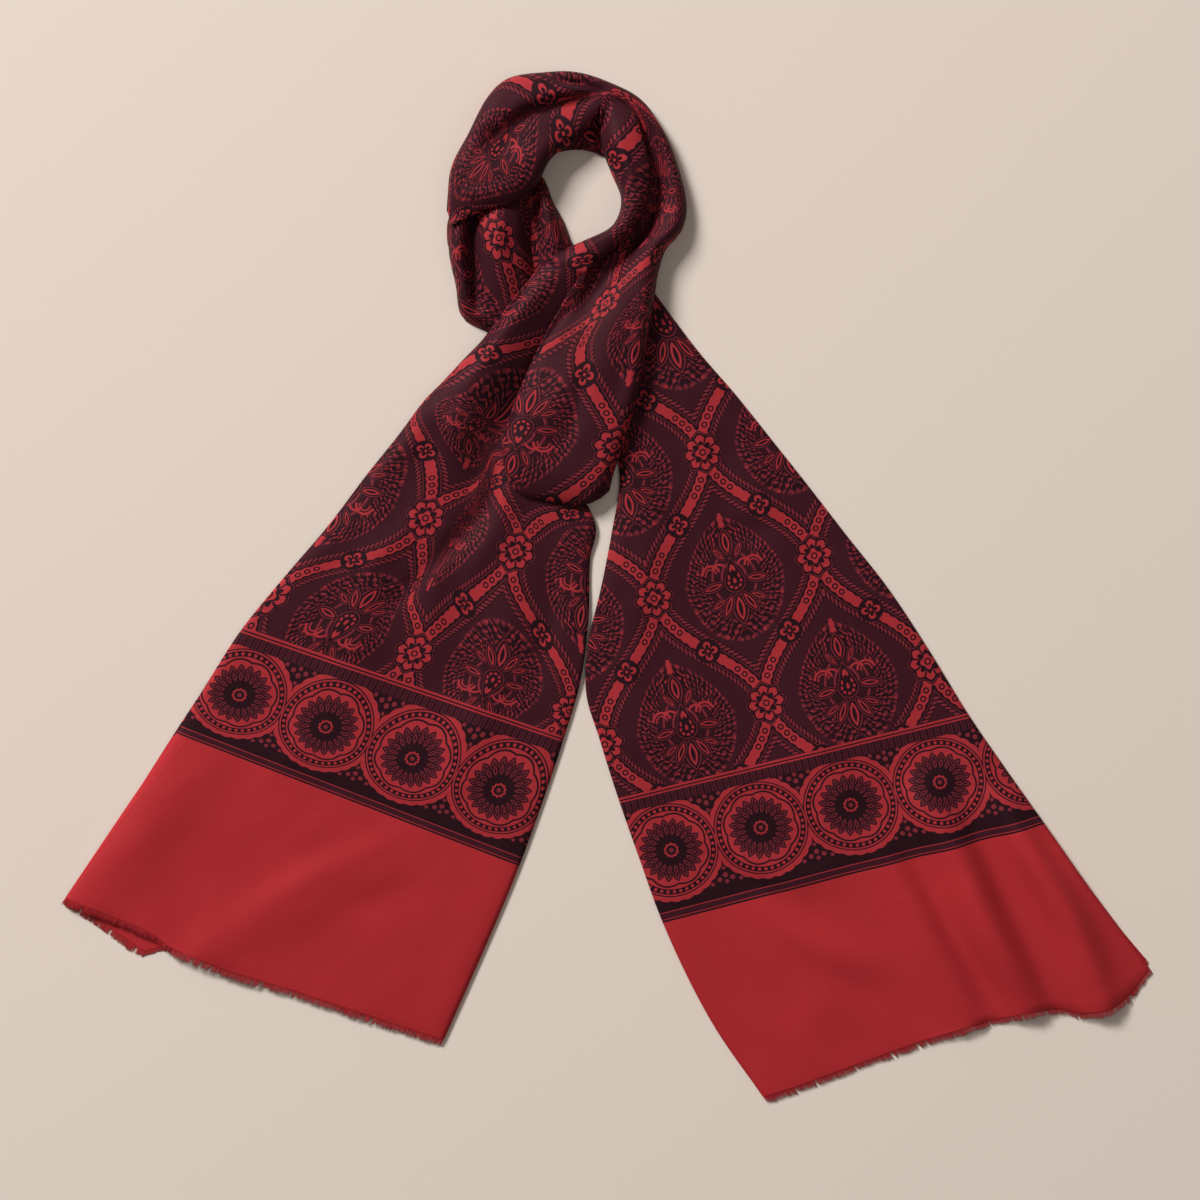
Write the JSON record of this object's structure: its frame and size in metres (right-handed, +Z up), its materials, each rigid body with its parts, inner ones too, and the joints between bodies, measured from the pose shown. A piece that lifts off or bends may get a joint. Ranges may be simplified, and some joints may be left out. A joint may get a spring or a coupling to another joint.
{
  "type": "double-sided scarf",
  "caption": "Long printed silk scarf with plain frayed ends, laid flat in an open loop with its tails crossed below the loop.",
  "frame": {"origin": "centre of the underside of the whole part's box, on the surface it lies on", "axes": "+Z up, away from the surface; +Y from the tails towards the loop; +X towards the tail that passes under the crossing"},
  "size_m": [0.7044, 0.67, 0.0212],
  "materials": {
    "printed_silk": "fine twill weave with a soft silk sheen, deep red ogee print on a dark plum ground",
    "plain_red_silk": "plain deep red silk, soft sheen"
  },
  "bodies": {
    "root": {"right_tail_front": "printed_silk", "right_tail_back": "printed_silk", "left_tail_front": "printed_silk", "left_tail_back": "printed_silk", "loop_left": "printed_silk", "loop_top": "printed_silk", "loop_right_outer": "printed_silk", "loop_right_inner": "printed_silk", "crossing_outer": "printed_silk", "crossing_inner": "printed_silk", "tucked_layers": "printed_silk", "right_fringe_front": "plain_red_silk", "right_fringe_back": "plain_red_silk", "left_fringe_front": "plain_red_silk", "left_fringe_back": "plain_red_silk"}
  },
  "joints": []
}
